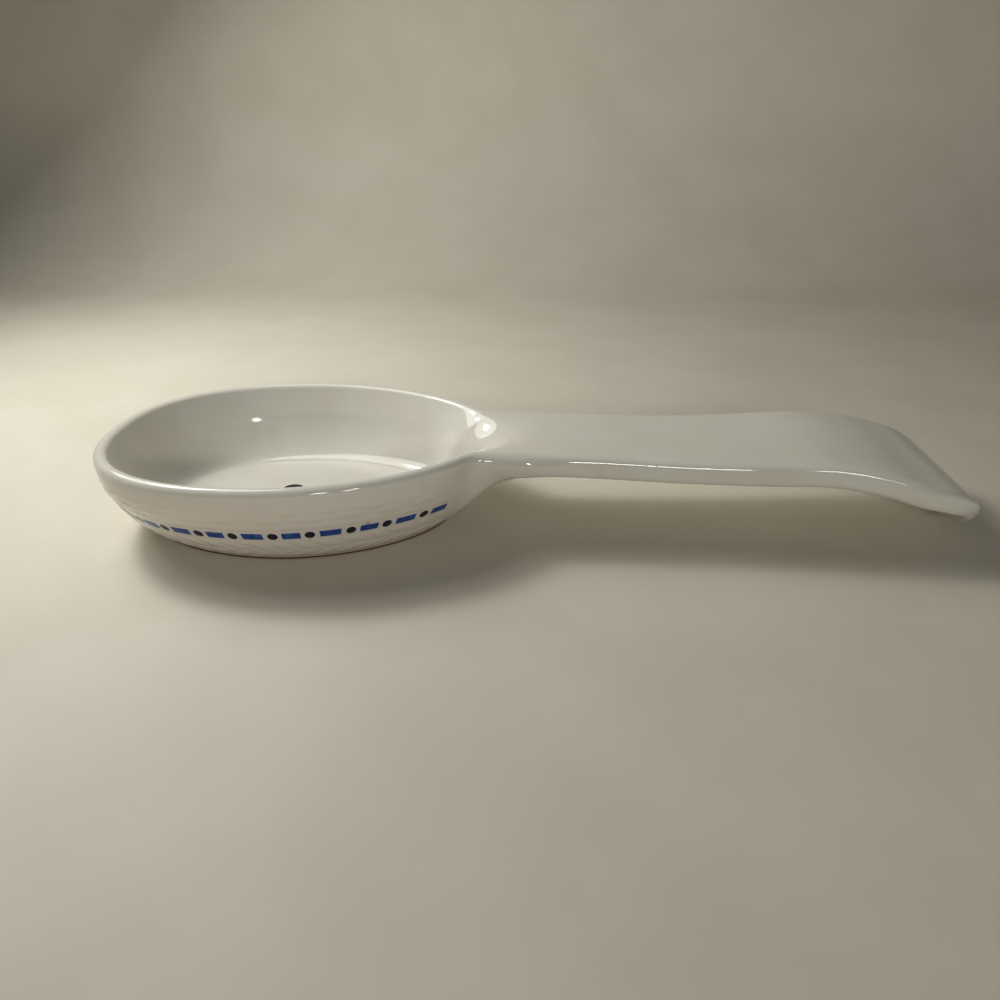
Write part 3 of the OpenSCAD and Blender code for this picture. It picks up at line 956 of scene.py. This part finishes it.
glaze, tree, shader = new_material("white_glaze")
place = add_node(tree, "ShaderNodeAttribute", {"attribute_name": "wall_place"})
parts = add_node(tree, "ShaderNodeSeparateXYZ", Vector=place.outputs["Vector"])
on_run, on_rise, on_weave = parts.outputs
broad = use_group(tree, cloud, Size=18.0)
tone = blend_colours(tree, broad, swatch(224, 221, 210), swatch(229, 227, 219))
# Painted bounce light: the outside of the wall is tinted warmer, for the warm light that the table
# throws into its shade.
painted_bounce_share = from_range(tree, on_rise, 30.0, 8.0, 0.0, 0.6)
tone = blend_colours(tree, painted_bounce_share, tone, swatch(226, 214, 202))
crest = from_range(tree, on_weave, 0.05, 0.4)
tone = blend_colours(tree, calculate(tree, "MULTIPLY", crest, 0.35), tone, swatch(226, 218, 201))
rim_share = use_group(tree, halo, Run=on_run, Rise=on_rise, Width=0.75)
tone = blend_colours(tree, calculate(tree, "MULTIPLY", rim_share, 0.4), tone, swatch(204, 208, 232))
dark_specks = use_group(tree, specks, Size=1.0, Share=0.02)
tone = blend_colours(tree, dark_specks, tone, swatch(92, 78, 60))
tree.links.new(tone, shader.inputs["Base Color"])
rough = from_range(tree, use_group(tree, cloud, Size=7.0), 0.0, 1.0, 0.06, 0.1)
tree.links.new(rough, shader.inputs["Roughness"])
shader.inputs["IOR"].default_value = 1.52
add_bump(tree, shader, use_group(tree, ripple, Size=5.0, Depth=0.012))
body.data.materials.clear()
body.data.materials.append(glaze)

# %% [markdown]
# ## The painted finishes
#
# Cobalt blue and a dark ink blue lie under the same glaze, so they keep its gloss. The brush
# leaves the blue uneven, darker where it overlapped and paler where it ran dry.

# %% Paint
def paint_material(name, colour, dark, pale, brush):
    material, tree, shader = new_material(name)
    strokes = noise_value(tree, 900.0, 4.0, 0.6)
    tone = blend_colours(tree, from_range(tree, strokes, 0.35, 0.6), dark, colour)
    dry = from_range(tree, use_group(tree, cloud, Size=2.4), 0.75, 1.0, 0.0, brush)
    tree.links.new(blend_colours(tree, dry, tone, pale), shader.inputs["Base Color"])
    rough = from_range(tree, use_group(tree, cloud, Size=7.0), 0.0, 1.0, 0.07, 0.12)
    tree.links.new(rough, shader.inputs["Roughness"])
    shader.inputs["IOR"].default_value = 1.46
    add_bump(tree, shader, use_group(tree, ripple, Size=1.5, Depth=0.01))
    return material


blue_paint = paint_material(
    "cobalt_paint", swatch(24, 74, 152), swatch(15, 50, 122), swatch(84, 114, 170), 0.35
)
dark_paint = paint_material(
    "ink_paint", swatch(17, 11, 46), swatch(10, 6, 30), swatch(34, 28, 74), 0.2
)
band_dashes.data.materials.append(blue_paint)
band_dots.data.materials.append(dark_paint)
floor_spot.data.materials.append(dark_paint)

# %% [markdown]
# ## The bare clay
#
# Fired clay without glaze is matt and grainy, a warm biscuit colour with lighter and darker
# grains.

# %% Clay
clay, tree, shader = new_material("bare_clay")
grain = noise_value(tree, 2600.0, 5.0, 0.7)
light_grains = from_range(tree, grain, 0.35, 0.65)
tone = blend_colours(tree, light_grains, swatch(74, 42, 30), swatch(112, 72, 52))
dark_grains = use_group(tree, specks, Size=1.2, Share=0.15)
tone = blend_colours(tree, dark_grains, tone, swatch(84, 50, 36))
tree.links.new(tone, shader.inputs["Base Color"])
shader.inputs["Roughness"].default_value = 0.85
add_bump(tree, shader, grain, 0.5, 0.1 * MM)
foot_ring.data.materials.append(clay)

# %% [markdown]
# ## The table and the light
#
# The rest stands on a plain pale table that sweeps up behind it, so that no edge shows. The
# light is that of a small studio. The key light is on the left, above and a little behind, and
# its shadows fall to the right and towards the viewer. It is a small lamp in the middle of a
# dimmer panel, so that its reflection in the glaze has a bright core and a soft surround. Two
# small lamps in front light the near side and draw thin bright lines on the edges, and a faint
# even surround fills the shadows.

# %% Table
sweep_start, sweep_r, sweep_top, table_reach = 0.27, 0.12, 0.6, 1.6
bend = [
    (sweep_start + sweep_r * math.sin(v), sweep_r * (1 - math.cos(v)))
    for v in np.linspace(0, quarter, 17)
]
outline = [(-table_reach, 0.0)] + bend + [(sweep_start + sweep_r, sweep_top)]
corners = [(x, y, z) for y, z in outline for x in (-table_reach, table_reach)]
strips = [(2 * i, 2 * i + 1, 2 * i + 3, 2 * i + 2) for i in range(len(outline) - 1)]
table_mesh = bpy.data.meshes.new("table")
table_mesh.from_pydata(corners, [], strips)
table_mesh.polygons.foreach_set("use_smooth", [True] * len(strips))
table = bpy.data.objects.new("table", table_mesh)
bpy.context.scene.collection.objects.link(table)
paper, tree, shader = new_material("table_top")
broad = use_group(tree, cloud, Size=40.0)
tone = blend_colours(tree, broad, swatch(217, 212, 197), swatch(223, 218, 204))
fibres = from_range(tree, noise_value(tree, 1400.0, 3.0, 0.7), 0.62, 0.8, 0.0, 0.5)
tone = blend_colours(tree, fibres, tone, swatch(196, 190, 174))
tree.links.new(tone, shader.inputs["Base Color"])
shader.inputs["Roughness"].default_value = 0.6
table_mesh.materials.append(paper)

# %% Light
def area_lamp(name, place, size, level, colour):
    """A round lamp aimed at the middle of the table; level 1 lights white paper there fully."""
    lamp = bpy.data.lights.new(name, "AREA")
    place = Vector(place)
    lamp.shape, lamp.size, lamp.color = "DISK", size, colour
    lamp.energy = level * math.pi**2 * place.length_squared
    obj = bpy.data.objects.new(name, lamp)
    bpy.context.scene.collection.objects.link(obj)
    obj.location = place
    obj.rotation_euler = (-place).to_track_quat("-Z", "Y").to_euler()
    obj.visible_camera = False


area_lamp("key_lamp", (-0.245, 0.095, 0.27), 0.07, 0.27, (1, 0.985, 0.93))
area_lamp("key_panel", (-0.247, 0.096, 0.272), 0.24, 0.46, (1, 0.985, 0.93))
area_lamp("front_lamp", (0.1, -0.9, 0.34), 0.12, 0.13, (1, 0.98, 0.92))
area_lamp("right_front_lamp", (0.3, -0.84, 0.33), 0.12, 0.1, (1, 0.98, 0.92))

world = bpy.context.scene.world or bpy.data.worlds.new("studio")
bpy.context.scene.world = world
world.use_nodes = True
tree = world.node_tree
surround = tree.nodes["Background"]
surround.inputs["Color"].default_value = swatch(196, 193, 178)
seen = add_node(tree, "ShaderNodeLightPath").outputs["Is Camera Ray"]
tree.links.new(from_range(tree, seen, 0.0, 1.0, 0.04, 1.0), surround.inputs["Strength"])
bpy.context.scene.view_settings.view_transform = "Standard"

# %% [markdown]
# ## The pieces and their bodies
#
# Every piece says which body it moves with and which pieces of the construction model it
# stands for, and those pieces are hidden.

# %% Pieces and their bodies
for piece, slot, nodes in (
    (body, "glaze", ("bowl", "handle")),
    (foot_ring, "bare_clay", ("foot_ring",)),
    (band_dashes, "dash_blue", ("band_dashes",)),
    (band_dots, "dot_navy", ("band_dots",)),
    (floor_spot, "dot_navy", ("floor_spot",)),
):
    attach(piece, "root")
    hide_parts(*nodes)
